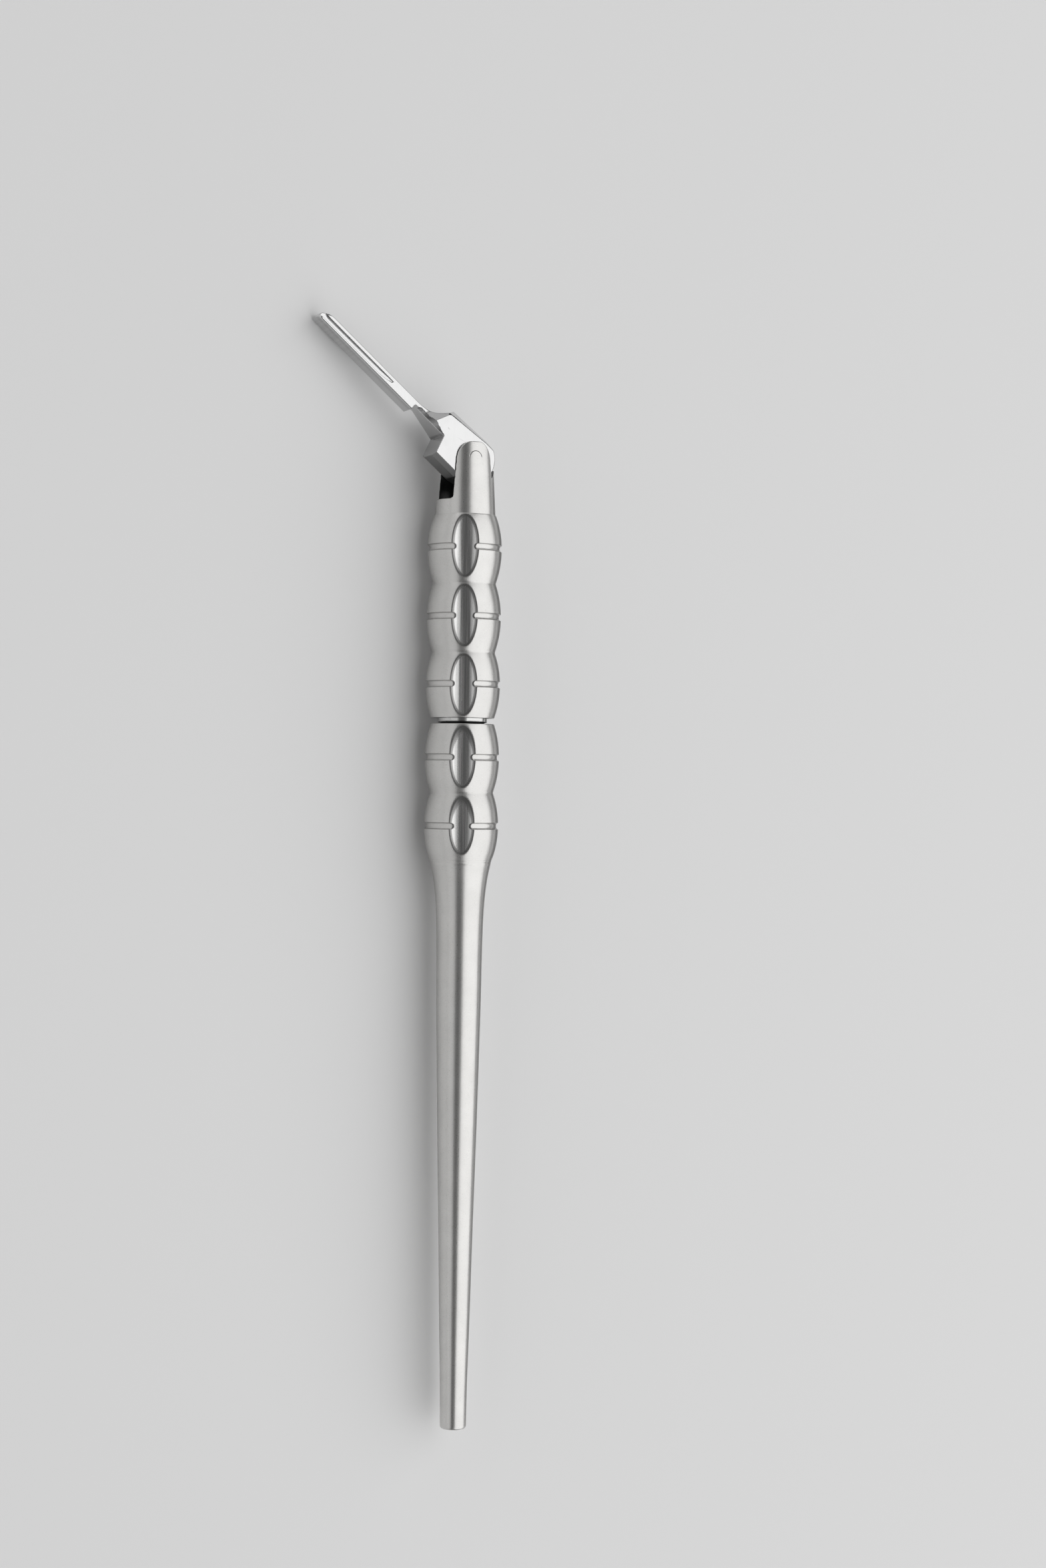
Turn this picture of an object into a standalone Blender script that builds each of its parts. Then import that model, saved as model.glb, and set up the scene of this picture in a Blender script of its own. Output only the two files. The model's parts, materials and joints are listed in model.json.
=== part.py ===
"""Adjustable-angle scalpel handle: a pivoting blade mount in a forked grip,
clamped by a push rod that the rear grip's screw drives.

Lengths are in millimetres until they are scaled by MM.  The handle's own
frame has +Z along its axis from tail to fork, +X along the hinge pin and +Y
on the side away from the blade mount.  An empty lays that frame down, the way
the handle rests on a table: on its five bulbs and one corner of the tongue.
"""
import math

import bpy
import bmesh
from mathutils import Matrix, Vector

MM = 0.001

# ---- driving dimensions, mm -------------------------------------------------
# stations along the axis, from the tail's end
TAIL_FLARE = 80.4          # turned line where the tail meets the last bulb
CREASE_45 = 90.0
REAR_TOP = 99.7            # front face of the rear grip
FRONT_BOTTOM = 100.5       # back face of the front grip
CREASE_23 = 109.8
CREASE_12 = 119.55
CREASE_FORK = 129.2
SLOT_BOTTOM = 131.3
PIVOT_Z = 137.1
EAR_TOP = 139.35

BULB_R = 5.26              # largest radius of each bulb
CREASE_R = 4.46            # radius in the crease between two bulbs
BULB_END_R = 4.50          # radius at the two faces of the gap
GROOVE_W = 0.90            # ring groove round each bulb
GROOVE_D = 0.30
GROOVE_OFFSET = 0.10       # ring groove sits this far ahead of mid-bulb

SCALLOP_NEAR = 4.56        # nearest the finger scallop comes to the axis
SCALLOP_R = 5.20           # radius of the cutter that makes the scallops
SCALLOP_AZIMUTHS = (-20.6, 99.4, 219.4)

FORK_R_BOTTOM = 4.28
FORK_R_TOP = 3.74
SLOT_HALF = 2.85
SEAT_R = 3.90              # the slot's floor behind the hub follows the hub
SEAT_TOP = 135.9           # top of the wall that closes the slot behind the hub
EAR_FLAT = 0.50            # half width of the flat on top of each ear
EAR_ROUND_Y = 2.20         # semi-axes of the ears' elliptical shoulders
EAR_ROUND_Z = 3.20

PIN_R = 0.85
PIN_HALF = 3.80
PIN_CLEAR = 0.30

SPIGOT_R = 3.50            # screw spigot of the rear grip
SPIGOT_END = 105.6
SOCKET_R = 3.80            # its socket in the front grip
SOCKET_END = 108.2
ROD_BORE_R = 1.70
ROD_R = 1.40
ROD_COLLAR_R = 3.40
ROD_START = 105.95
ROD_COLLAR_END = 107.4

HUB_R = 3.60
HUB_GAP = 0.30
HEAD_HALF = 2.62           # half thickness of the block and hub
BEVEL_IN = 1.60            # half width left on the block's narrow faces
EDGE_LOW = -3.22           # where the bevels meet the block's two broad faces
EDGE_HIGH = 2.96
TONGUE_HALF = 1.65         # half width of the tongue
TONGUE_LOW = -1.00
TONGUE_HIGH = 0.50
TONGUE_START = 10.9
TONGUE_END = 29.2
BEND_DEG = 49.2            # angle of the mount to the handle at rest

REST_ROLL_DEG = 9.5        # roll of the handle that puts the tongue's corner down

GRIP_STEPS = 40

# ---- scene ------------------------------------------------------------------
for old in list(bpy.data.objects):
    bpy.data.objects.remove(old, do_unlink=True)

parts = bpy.data.collections.new("scalpel_handle")
cutters = bpy.data.collections.new("scalpel_handle_cutters")
bpy.context.scene.collection.children.link(parts)
bpy.context.scene.collection.children.link(cutters)


def material(name, color, rough, metal=1.0):
    m = bpy.data.materials.new(name)
    m.use_nodes = True
    b = m.node_tree.nodes["Principled BSDF"]
    b.inputs["Base Color"].default_value = (*color, 1.0)
    b.inputs["Metallic"].default_value = metal
    b.inputs["Roughness"].default_value = rough
    return m


satin = material("satin_steel", (0.62, 0.62, 0.60), 0.38)
satin_rear = material("satin_steel_rear", (0.62, 0.62, 0.60), 0.38)
polished = material("polished_steel", (0.82, 0.82, 0.83), 0.12)
pin_steel = material("pin_steel", (0.66, 0.66, 0.64), 0.30)
rod_steel = material("rod_steel", (0.55, 0.55, 0.56), 0.28)


def empty(name, parent=None, location=(0, 0, 0), rotation=(0, 0, 0)):
    e = bpy.data.objects.new(name, None)
    e.empty_display_size = 0.01
    e.parent = parent
    e.location = Vector(location) * MM
    e.rotation_euler = rotation
    parts.objects.link(e)
    return e


def place(obj, parent, location=(0, 0, 0), rotation=(0, 0, 0)):
    obj.parent = parent
    obj.location = Vector(location) * MM
    obj.rotation_euler = rotation


def new_object(name, mesh, cutter=False, mat=None):
    obj = bpy.data.objects.new(name, mesh)
    (cutters if cutter else parts).objects.link(obj)
    if cutter:
        obj.hide_render = True
        obj.display_type = "WIRE"
    if mat:
        mesh.materials.append(mat)
    return obj


def lathe(name, profile, steps, mat=None, cutter=False):
    """Turned solid from (radius, z) pairs that run top to bottom, both ends
    on the axis."""
    mesh = bpy.data.meshes.new(name)
    verts = [(r * MM, 0.0, z * MM) for r, z in profile]
    mesh.from_pydata(verts, [(i, i + 1) for i in range(len(verts) - 1)], [])
    obj = new_object(name, mesh, cutter, mat)
    screw = obj.modifiers.new("turn", "SCREW")
    screw.axis = "Z"
    screw.angle = math.tau
    screw.steps = steps
    screw.render_steps = steps
    screw.use_merge_vertices = True
    screw.merge_threshold = 0.00001
    screw.use_smooth_shade = True
    return obj


def plate(name, outline, half, axes, mat=None, cutter=False):
    """Closed outline extruded to both sides.  axes is the matrix that takes
    the outline's own x, y and extrusion z to the piece's frame."""
    curve = bpy.data.curves.new(name, "CURVE")
    curve.dimensions = "2D"
    curve.fill_mode = "BOTH"
    curve.extrude = half * MM
    spline = curve.splines.new("POLY")
    spline.points.add(len(outline) - 1)
    for point, (x, y) in zip(spline.points, outline):
        point.co = (x * MM, y * MM, 0.0, 1.0)
    spline.use_cyclic_u = True
    tmp = bpy.data.objects.new(name + "_outline", curve)
    bpy.context.scene.collection.objects.link(tmp)
    graph = bpy.context.evaluated_depsgraph_get()
    mesh = bpy.data.meshes.new_from_object(tmp.evaluated_get(graph))
    bpy.data.objects.remove(tmp, do_unlink=True)
    mesh.name = name
    mesh.transform(axes)
    bm = bmesh.new()
    bm.from_mesh(mesh)
    bmesh.ops.remove_doubles(bm, verts=bm.verts, dist=1e-6)
    bmesh.ops.recalc_face_normals(bm, faces=bm.faces)
    bm.to_mesh(mesh)
    bm.free()
    mesh.materials.clear()
    return new_object(name, mesh, cutter, mat)


def primitive(name, kind, cutter=True, mat=None, **kw):
    """Cube or cylinder, its size already in its mesh."""
    bm = bmesh.new()
    if kind == "cube":
        bmesh.ops.create_cube(bm, size=1.0)
        size = Vector(kw["size"]) * MM
        bmesh.ops.scale(bm, vec=size, verts=bm.verts)
    else:
        bmesh.ops.create_cone(bm, cap_ends=True, segments=kw["segments"],
                              radius1=kw["r"] * MM, radius2=kw["r"] * MM,
                              depth=kw["depth"] * MM)
    if "turn" in kw:
        bmesh.ops.transform(bm, matrix=kw["turn"], verts=bm.verts)
    mesh = bpy.data.meshes.new(name)
    bm.to_mesh(mesh)
    bm.free()
    return new_object(name, mesh, cutter, mat)


def boolean(obj, other, operation="DIFFERENCE"):
    mod = obj.modifiers.new(other.name, "BOOLEAN")
    mod.operation = operation
    mod.object = other
    mod.solver = "EXACT"
    return mod


# ---- turned profiles --------------------------------------------------------
def bulb(z_low, z_high, r_low, r_high, count=5):
    """Outer profile of one barrel bulb, bottom to top, with its ring groove."""
    mid = 0.5 * (z_low + z_high)
    half = 0.5 * (z_high - z_low)

    def radius(z):
        end = r_high if z > mid else r_low
        s = abs(z - mid) / half
        return end + (BULB_R - end) * (1.0 - s ** 2.1)

    g0 = mid + GROOVE_OFFSET - 0.5 * GROOVE_W
    g1 = mid + GROOVE_OFFSET + 0.5 * GROOVE_W
    out = []
    for i in range(count):
        z = z_low + (g0 - z_low) * i / (count - 1)
        out.append((radius(z), z))
    out.append((radius(g0) - GROOVE_D, g0 + 0.12))
    out.append((radius(g1) - GROOVE_D, g1 - 0.12))
    for i in range(count):
        z = g1 + (z_high - g1) * i / (count - 1)
        out.append((radius(z), z))
    return out


def join(*profiles):
    """Chains bottom-to-top profiles and drops the doubled joints."""
    out = []
    for profile in profiles:
        for p in profile:
            if not out or math.dist(out[-1], p) > 1e-6:
                out.append(p)
    return out


# ---- frames -----------------------------------------------------------------
rho = math.radians(REST_ROLL_DEG)
bend = math.radians(BEND_DEG)
lay_down = Matrix(((-math.sin(rho), math.cos(rho), 0.0),
                   (0.0, 0.0, 1.0),
                   (math.cos(rho), math.sin(rho), 0.0)))


def tip_corner(a, b, h):
    """A point of the mount, given along, across and through it, in the
    handle's frame."""
    return Vector((h,
                   b * math.cos(bend) - a * math.sin(bend),
                   PIVOT_Z + b * math.sin(bend) + a * math.cos(bend)))


# the box of the lying handle: tip of the tongue to tail, bulb to tongue
reach = [lay_down @ tip_corner(a, b, side * h)
         for a, b, h in ((28.1, TONGUE_LOW, TONGUE_HALF), (28.3, TONGUE_LOW, 1.59),
                         (28.85, -0.90, 1.40), (TONGUE_END, -0.60, 1.0),
                         (28.8, 0.03, 1.45), (27.7, TONGUE_HIGH, TONGUE_HALF))
         for side in (-1, 1)]
x_low = min(p.x for p in reach)
y_high = max(p.y for p in reach)
rest = Vector((-(x_low + BULB_R) / 2, -y_high / 2, BULB_R))

frame = empty("handle_frame")
frame.rotation_euler = lay_down.to_euler()
frame.location = rest * MM

mount_pivot = empty("mount_pivot", frame, (0, 0, PIVOT_Z), (bend, 0, 0))
turn_axis = empty("turn_axis", frame, (0, 0, REAR_TOP))

# ---- front grip -------------------------------------------------------------
outer = join(
    bulb(FRONT_BOTTOM, CREASE_23, BULB_END_R, CREASE_R),
    bulb(CREASE_23, CREASE_12, CREASE_R, CREASE_R),
    bulb(CREASE_12, CREASE_FORK, CREASE_R, 4.40),
    [(FORK_R_BOTTOM, CREASE_FORK + 0.25), (FORK_R_TOP, EAR_TOP)],
)
inner = [
    (ROD_BORE_R, EAR_TOP),
    (ROD_BORE_R, SOCKET_END),
    (SOCKET_R, SOCKET_END),
    (SOCKET_R, FRONT_BOTTOM),
]
# down the outside, across the back face, up the bore, across the top
profile = list(reversed(outer)) + list(reversed(inner))
profile.append(profile[0])
front_grip = lathe("front_grip", profile, GRIP_STEPS, satin)
place(front_grip, frame)

# finger scallops: one long round cutter along each side
for i, az in enumerate(SCALLOP_AZIMUTHS):
    a = math.radians(az)
    far = SCALLOP_NEAR + SCALLOP_R
    for grip, z0, z1 in (("front", FRONT_BOTTOM + 0.35, CREASE_FORK - 0.05),
                         ("rear", TAIL_FLARE + 1.2, REAR_TOP - 0.35)):
        c = primitive("scallop_%s_%d" % (grip, i), "cylinder", r=SCALLOP_R,
                      depth=z1 - z0, segments=56)
        place(c, frame, (far * math.cos(a), far * math.sin(a), 0.5 * (z0 + z1)),
              (0, 0, a + math.pi / 56))

# the slot, with its two bottom corners rounded
slot_outline = []
corner = 0.30
for sx in (1, -1):
    for k in range(5):
        q = math.radians(90 * k / 4)
        x = SLOT_HALF - corner + corner * math.cos(q)
        y = SLOT_BOTTOM + corner - corner * math.sin(q)
        slot_outline.append((sx * x, y, k))
right = [(x, y) for x, y, k in slot_outline[:5]]
left = [(x, y) for x, y, k in reversed(slot_outline[5:])]
slot_outline = [(SLOT_HALF, EAR_TOP + 3)] + right + left + [(-SLOT_HALF, EAR_TOP + 3)]
to_side = Matrix(((1, 0, 0, 0), (0, 0, -1, 0), (0, 1, 0, 0), (0, 0, 0, 1)))
slot = plate("fork_slot", slot_outline, 7.0, to_side, cutter=True)
place(slot, frame, (0, -7.0, 0))

# behind the pin the floor rises round the hub
to_front = Matrix(((0, 0, 1, 0), (1, 0, 0, 0), (0, 1, 0, 0), (0, 0, 0, 1)))
seat_outline = [(-0.02, EAR_TOP + 3)]
last = math.acos((PIVOT_Z - SEAT_TOP) / SEAT_R)
for k in range(15):
    q = last * k / 14
    seat_outline.append((-0.02 if k == 0 else SEAT_R * math.sin(q),
                         PIVOT_Z - SEAT_R * math.cos(q)))
seat_outline += [(7.0, SEAT_TOP), (7.0, EAR_TOP + 3)]
seat = plate("hub_seat", seat_outline, SLOT_HALF, to_front, cutter=True)
place(seat, frame)

# the ears' rounded top, seen along the pin
ear_low = EAR_TOP - 0.02 - EAR_ROUND_Z
ear = [(-8.0, FRONT_BOTTOM - 4), (8.0, FRONT_BOTTOM - 4), (8.0, ear_low - 2.0),
       (EAR_FLAT + EAR_ROUND_Y + 2.0, ear_low - 1.0)]
for k in range(11):
    q = math.radians(90 * k / 10)
    ear.append((EAR_FLAT + EAR_ROUND_Y * math.cos(q), ear_low + EAR_ROUND_Z * math.sin(q)))
for k in range(10, -1, -1):
    q = math.radians(90 * k / 10)
    ear.append((-(EAR_FLAT + EAR_ROUND_Y * math.cos(q)),
                ear_low + EAR_ROUND_Z * math.sin(q)))
ear += [(-(EAR_FLAT + EAR_ROUND_Y + 2.0), ear_low - 1.0), (-8.0, ear_low - 2.0)]
ear_outline = plate("ear_outline", ear, 8.0, to_front, cutter=True)
place(ear_outline, frame)

along_pin = Matrix.Rotation(math.pi / 2, 4, "Y")
pin_hole = primitive("pin_hole", "cylinder", r=PIN_R + PIN_CLEAR, depth=16.0,
                     segments=24, turn=along_pin)
place(pin_hole, frame, (0, 0, PIVOT_Z))

for i in range(len(SCALLOP_AZIMUTHS)):
    boolean(front_grip, bpy.data.objects["scallop_front_%d" % i])
boolean(front_grip, slot)
boolean(front_grip, seat)
boolean(front_grip, ear_outline, "INTERSECT")
boolean(front_grip, pin_hole)

# ---- rear grip --------------------------------------------------------------
z0 = REAR_TOP
tail = [(0.0, 0.0), (1.45, 0.0), (1.76, 0.13), (1.87, 0.45), (1.90, 4.0), (2.16, 15.0),
        (2.47, 29.4), (2.74, 40.0), (2.98, 51.0), (3.16, 60.5), (3.28, 69.9),
        (3.42, 74.0), (3.78, 77.4), (4.12, 79.2), (4.42, TAIL_FLARE)]
rear = join(
    tail,
    bulb(TAIL_FLARE, CREASE_45, 4.42, CREASE_R),
    bulb(CREASE_45, REAR_TOP, CREASE_R, BULB_END_R),
    [(SPIGOT_R, REAR_TOP), (SPIGOT_R, SPIGOT_END - 0.4), (SPIGOT_R - 0.4, SPIGOT_END),
     (0.0, SPIGOT_END)],
)
rear_grip = lathe("rear_grip", [(r, z - z0) for r, z in reversed(rear)], GRIP_STEPS,
                  satin_rear)
place(rear_grip, turn_axis)
for i in range(len(SCALLOP_AZIMUTHS)):
    boolean(rear_grip, bpy.data.objects["scallop_rear_%d" % i])

# ---- lock rod ---------------------------------------------------------------
rod_end = PIVOT_Z - HUB_R - HUB_GAP
rod_profile = [(0.0, rod_end), (ROD_R - 0.3, rod_end), (ROD_R, rod_end - 0.3),
               (ROD_R, ROD_COLLAR_END), (ROD_COLLAR_R, ROD_COLLAR_END),
               (ROD_COLLAR_R, ROD_START), (0.0, ROD_START)]
lock_rod = lathe("lock_rod", rod_profile, 28, rod_steel)
place(lock_rod, frame)

# ---- blade mount ------------------------------------------------------------
# outline seen along the pin: across (b) and along (a) the mount
side = []
for k in range(0, 17):                     # hub: from the high side round to the low side
    q = math.radians(90 + 180 * k / 16)
    side.append((HUB_R * math.cos(q), HUB_R * math.sin(q)))
side += [(4.45, -HUB_R), (4.75, -2.7), (5.05, -0.80),        # block's low side and step
         (TONGUE_START, -0.18), (TONGUE_START, TONGUE_LOW),   # pocket under the neck
         (28.3, TONGUE_LOW), (28.85, -0.90), (TONGUE_END, -0.60),
         (28.8, 0.03), (28.35, 0.36), (27.7, TONGUE_HIGH),    # tip
         (10.1, TONGUE_HIGH)]
for k in range(1, 7):                      # hollow that rises to the block
    q = math.radians(90 * k / 7)
    side.append((10.1 - 3.75 * math.sin(q), TONGUE_HIGH + 2.65 * (1 - math.cos(q))))
side += [(6.35, 3.28)]
# (a, b) -> x = b, y = a of the outline's plane
to_mount = Matrix(((0, 0, 1, 0), (0, 1, 0, 0), (1, 0, 0, 0), (0, 0, 0, 1)))
blade_mount = plate("blade_mount", side, 6.0, to_mount, mat=polished)
place(blade_mount, mount_pivot)

# outline seen across the mount: thick hub and block, waist, tongue
half_width = [(-5.0, HEAD_HALF), (6.9, HEAD_HALF), (7.25, 2.36), (7.75, 2.02),
              (8.4, 1.76), (9.3, 1.60), (10.3, 1.58), (11.0, TONGUE_HALF),
              (28.1, TONGUE_HALF), (28.8, 1.45), (29.25, 0.95)]
plan = [(w, a) for a, w in half_width] + [(-w, a) for a, w in reversed(half_width)]
to_plan = Matrix(((1, 0, 0, 0), (0, 0, 1, 0), (0, 1, 0, 0), (0, 0, 0, 1)))
plan_cutter = plate("mount_plan", plan, 9.0, to_plan, cutter=True)
place(plan_cutter, mount_pivot)
boolean(blade_mount, plan_cutter, "INTERSECT")

# outline seen along the mount: its long edges are bevelled
section = [(-HEAD_HALF, EDGE_LOW), (-BEVEL_IN, -HUB_R), (BEVEL_IN, -HUB_R),
           (HEAD_HALF, EDGE_LOW), (HEAD_HALF, EDGE_HIGH), (BEVEL_IN, HUB_R),
           (-BEVEL_IN, HUB_R), (-HEAD_HALF, EDGE_HIGH)]
section_cutter = plate("mount_section", [(x, y * 1.0001) for x, y in section], 20.0,
                       Matrix.Identity(4), cutter=True)
place(section_cutter, mount_pivot, (0, 0, 12.0))
boolean(blade_mount, section_cutter, "INTERSECT")

hub_pin_hole = primitive("hub_pin_hole", "cylinder", r=PIN_R + PIN_CLEAR, depth=16.0,
                         segments=24, turn=along_pin)
place(hub_pin_hole, mount_pivot)
boolean(blade_mount, hub_pin_hole)

# blade grooves, one in each side of the tongue, open at the tip
for i, sx in enumerate((1, -1)):
    groove = plate("blade_groove_%d" % i,
                   [(sx * (TONGUE_HALF + 0.4), 13.6), (sx * (TONGUE_HALF - 0.36), 18.0),
                    (sx * (TONGUE_HALF - 0.45), 24.0), (sx * (TONGUE_HALF - 0.45), 30.5),
                    (sx * (TONGUE_HALF + 0.4), 30.5)][::sx],
                   0.28, to_plan, cutter=True)
    place(groove, mount_pivot, (0, -0.36, 0))
    boolean(blade_mount, groove)

# the low edges of the neck are cut away, most at mid-neck
for i, sx in enumerate((1, -1)):
    bm = bmesh.new()
    for a, reach_in in ((5.10, 3.40), (7.6, 2.28), (9.0, 1.72), (TONGUE_START - 0.02, 1.76)):
        for h, b in ((reach_in - 1.9, -1.9), (4.2, -1.9), (4.2, 4.2 - reach_in)):
            bm.verts.new((sx * h * MM, b * MM, a * MM))
    bmesh.ops.convex_hull(bm, input=bm.verts)
    bmesh.ops.recalc_face_normals(bm, faces=bm.faces)
    mesh = bpy.data.meshes.new("neck_flank_%d" % i)
    bm.to_mesh(mesh)
    bm.free()
    flank = new_object("neck_flank_%d" % i, mesh, cutter=True)
    place(flank, mount_pivot)
    boolean(blade_mount, flank)

# ---- hinge pin --------------------------------------------------------------
hinge_pin = primitive("hinge_pin", "cylinder", cutter=False, mat=pin_steel, r=PIN_R,
                      depth=2 * PIN_HALF, segments=24, turn=along_pin)
place(hinge_pin, frame, (0, 0, PIVOT_Z))

# ---- shading ----------------------------------------------------------------
for obj in (hinge_pin, blade_mount):
    obj.data.shade_smooth()
    obj.data.set_sharp_from_angle(angle=math.radians(30))
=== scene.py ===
import json
import math

import bpy
import bmesh
import numpy as np
from mathutils import Matrix, Vector


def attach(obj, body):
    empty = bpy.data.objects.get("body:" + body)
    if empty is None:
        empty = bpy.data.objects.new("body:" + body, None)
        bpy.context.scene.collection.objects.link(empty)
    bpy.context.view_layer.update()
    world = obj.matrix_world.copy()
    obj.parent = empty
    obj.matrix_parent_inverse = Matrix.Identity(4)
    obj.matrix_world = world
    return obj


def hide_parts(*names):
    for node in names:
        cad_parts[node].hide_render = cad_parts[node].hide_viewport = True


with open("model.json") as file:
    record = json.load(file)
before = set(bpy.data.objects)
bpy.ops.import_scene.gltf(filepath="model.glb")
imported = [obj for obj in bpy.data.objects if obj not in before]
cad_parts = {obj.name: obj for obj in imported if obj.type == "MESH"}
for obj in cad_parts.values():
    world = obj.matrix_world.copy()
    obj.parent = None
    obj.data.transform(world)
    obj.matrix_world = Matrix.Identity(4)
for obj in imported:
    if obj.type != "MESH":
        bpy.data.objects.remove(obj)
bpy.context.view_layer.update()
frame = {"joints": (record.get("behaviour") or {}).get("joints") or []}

MM = 0.001

# ------------------------------------------------------------------ frames --
# The handle's own frame has +z along its axis from tail to fork, +x along the
# hinge pin and +y away from the blade mount.  Lengths in it are millimetres.
PIVOT_Z = 137.1
BEND = math.radians(49.2)
pivot = next(j for j in frame["joints"] if j["name"] == "mount_pivot")
pin_axis = np.array(pivot["axis"], float)
pin_axis /= np.linalg.norm(pin_axis)
ROLL = math.atan2(-pin_axis[0], pin_axis[2])
LAY = np.array([[-math.sin(ROLL), math.cos(ROLL), 0.0],
                [0.0, 0.0, 1.0],
                [math.cos(ROLL), math.sin(ROLL), 0.0]])
REST = np.array(pivot["pos_m"], float) * 1000.0 - LAY @ np.array([0.0, 0.0, PIVOT_Z])


def to_world(points):
    """Handle frame in millimetres to the row frame in metres."""
    return (np.asarray(points, float) @ LAY.T + REST) * MM


def mount_to_handle(a, b, h):
    """Along, across and through the blade mount, to the handle's frame."""
    return np.stack([h,
                     b * math.cos(BEND) - a * math.sin(BEND),
                     PIVOT_Z + b * math.sin(BEND) + a * math.cos(BEND)], -1)


# ------------------------------------------------------------------ camera --
# 4000 px focal length on the 2350 px side, 378 mm from the handle's axis
PX = 0.0945
FOCAL = 4000.0
DIST = FOCAL * PX
TILT = math.radians(0.78)
VIEW_AZ = math.radians(23.0)
tail_y = 2139.9
tail_x = 691.0 + (1240.0 - tail_y) * math.tan(TILT)
tail = np.array([(tail_x - 784.0) * PX, 0.0, (1175.0 - tail_y) * PX])
from_cam = np.array([[math.cos(TILT), 0, -math.sin(TILT)],
                     [0, 1, 0],
                     [math.sin(TILT), 0, math.cos(TILT)]])
s, c = math.sin(VIEW_AZ), math.cos(VIEW_AZ)
turn = np.array([[s, -c, 0], [c, s, 0], [0, 0, 1]])


def cam_dir(v):
    return LAY @ (turn @ (from_cam @ np.asarray(v, float)))


cam_at = to_world(turn @ (from_cam @ (np.array([0.0, -DIST, 0.0]) - tail)))
right, ahead, up = cam_dir((1, 0, 0)), cam_dir((0, 1, 0)), cam_dir((0, 0, 1))
cam_data = bpy.data.cameras.new("camera")
cam_data.sensor_width = 36.0
cam_data.lens = 36.0 * FOCAL / 2350.0
cam_data.clip_start = 0.01
cam_data.clip_end = 50.0
camera = bpy.data.objects.new("camera", cam_data)
camera.matrix_world = Matrix((
    (right[0], up[0], -ahead[0], cam_at[0]),
    (right[1], up[1], -ahead[1], cam_at[1]),
    (right[2], up[2], -ahead[2], cam_at[2]),
    (0, 0, 0, 1)))
bpy.context.scene.collection.objects.link(camera)
bpy.context.scene.camera = camera


# --------------------------------------------------------------- materials --
def nodes_of(name):
    m = bpy.data.materials.new(name)
    m.use_nodes = True
    nt = m.node_tree
    return m, nt, nt.nodes["Principled BSDF"]


def coords(nt, scale, rotation=(0, 0, 0)):
    tc = nt.nodes.new("ShaderNodeTexCoord")
    mp = nt.nodes.new("ShaderNodeMapping")
    mp.inputs["Scale"].default_value = scale
    mp.inputs["Rotation"].default_value = rotation
    nt.links.new(tc.outputs["Object"], mp.inputs["Vector"])
    return mp.outputs["Vector"]


def noise(nt, vector, scale, detail=3.0, rough=0.55):
    n = nt.nodes.new("ShaderNodeTexNoise")
    n.inputs["Scale"].default_value = scale
    n.inputs["Detail"].default_value = detail
    n.inputs["Roughness"].default_value = rough
    nt.links.new(vector, n.inputs["Vector"])
    return n.outputs["Fac"]


def remap(nt, value, a, b, lo, hi):
    n = nt.nodes.new("ShaderNodeMapRange")
    n.inputs["From Min"].default_value = a
    n.inputs["From Max"].default_value = b
    n.inputs["To Min"].default_value = lo
    n.inputs["To Max"].default_value = hi
    nt.links.new(value, n.inputs["Value"])
    return n.outputs["Result"]


def mix_colour(nt, fac, one, two):
    n = nt.nodes.new("ShaderNodeMix")
    n.data_type = "RGBA"
    n.inputs["A"].default_value = (*one, 1)
    n.inputs["B"].default_value = (*two, 1)
    nt.links.new(fac, n.inputs["Factor"])
    return n.outputs["Result"]


def bump(nt, height, strength, distance, normal=None):
    n = nt.nodes.new("ShaderNodeBump")
    n.inputs["Strength"].default_value = strength
    n.inputs["Distance"].default_value = distance
    nt.links.new(height, n.inputs["Height"])
    if normal is not None:
        nt.links.new(normal, n.inputs["Normal"])
    return n.outputs["Normal"]


def blend(nt, fac, one, two):
    """Mix of two colour sockets."""
    n = nt.nodes.new("ShaderNodeMix")
    n.data_type = "RGBA"
    nt.links.new(fac, n.inputs["Factor"])
    nt.links.new(one, n.inputs["A"])
    if isinstance(two, tuple):
        n.inputs["B"].default_value = (*two, 1)
    else:
        nt.links.new(two, n.inputs["B"])
    return n.outputs["Result"]


def maths(nt, op, one, two):
    n = nt.nodes.new("ShaderNodeMath")
    n.operation = op
    for i, v in enumerate((one, two)):
        if isinstance(v, (int, float)):
            n.inputs[i].default_value = v
        else:
            nt.links.new(v, n.inputs[i])
    return n.outputs["Value"]


def painted(nt, name):
    """A value that the mesh carries at its points."""
    n = nt.nodes.new("ShaderNodeAttribute")
    n.attribute_name = name
    return n.outputs["Fac"]


def satin(name, tone):
    """Bead-blasted steel: a fine grain, with darker pits."""
    m, nt, b = nodes_of(name)
    b.inputs["Metallic"].default_value = 1.0
    v = coords(nt, (1, 1, 1))
    grain = noise(nt, v, 8200, 2.0)
    cloud = noise(nt, v, 300, 3.0)
    base = mix_colour(nt, remap(nt, cloud, 0.35, 0.65, 0, 1),
                      [t * 0.965 for t in tone], [t * 1.02 for t in tone])
    base = blend(nt, remap(nt, noise(nt, v, 5200, 1.0), 0.60, 0.78, 0, 0.26), base,
                 tuple(t * 0.6 for t in tone))
    nt.links.new(base, b.inputs["Base Color"])
    nt.links.new(remap(nt, grain, 0.3, 0.7, 0.27, 0.34), b.inputs["Roughness"])
    nt.links.new(bump(nt, grain, 0.10, 0.00002), b.inputs["Normal"])
    return m


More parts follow.
